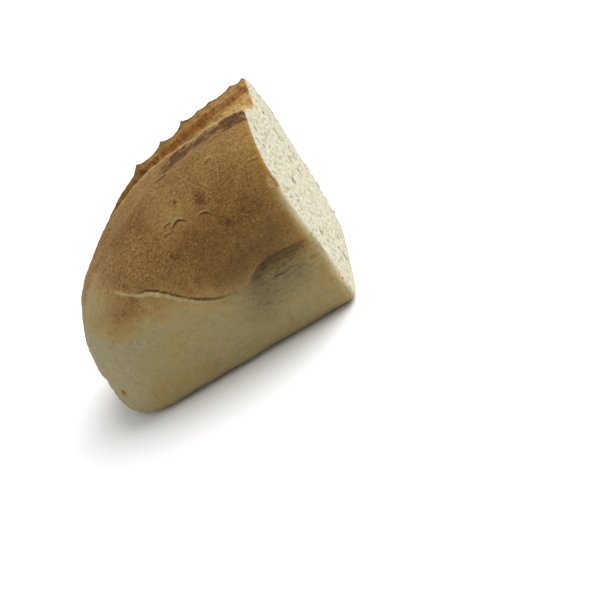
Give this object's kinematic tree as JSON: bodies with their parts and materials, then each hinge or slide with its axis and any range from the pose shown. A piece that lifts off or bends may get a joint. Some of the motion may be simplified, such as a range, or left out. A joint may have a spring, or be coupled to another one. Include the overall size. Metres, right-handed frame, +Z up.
{
  "type": "bread roll half",
  "caption": "Half of a small split-top bread loaf, baked round at one end and cut straight at the other, lying on its flat base.",
  "frame": {"origin": "middle of the bounding box in plan, at the level of the flat base", "axes": "+X towards the cut face, along the loaf; +Z up, towards the split top; the waist seam is on the -Y side"},
  "size_m": [0.112, 0.102, 0.0823],
  "materials": {
    "crust": "dry baked crust, brown on top and paler low down, with a cream crumb on the cut face"
  },
  "bodies": {
    "root": {"loaf_half": "crust"}
  },
  "joints": []
}
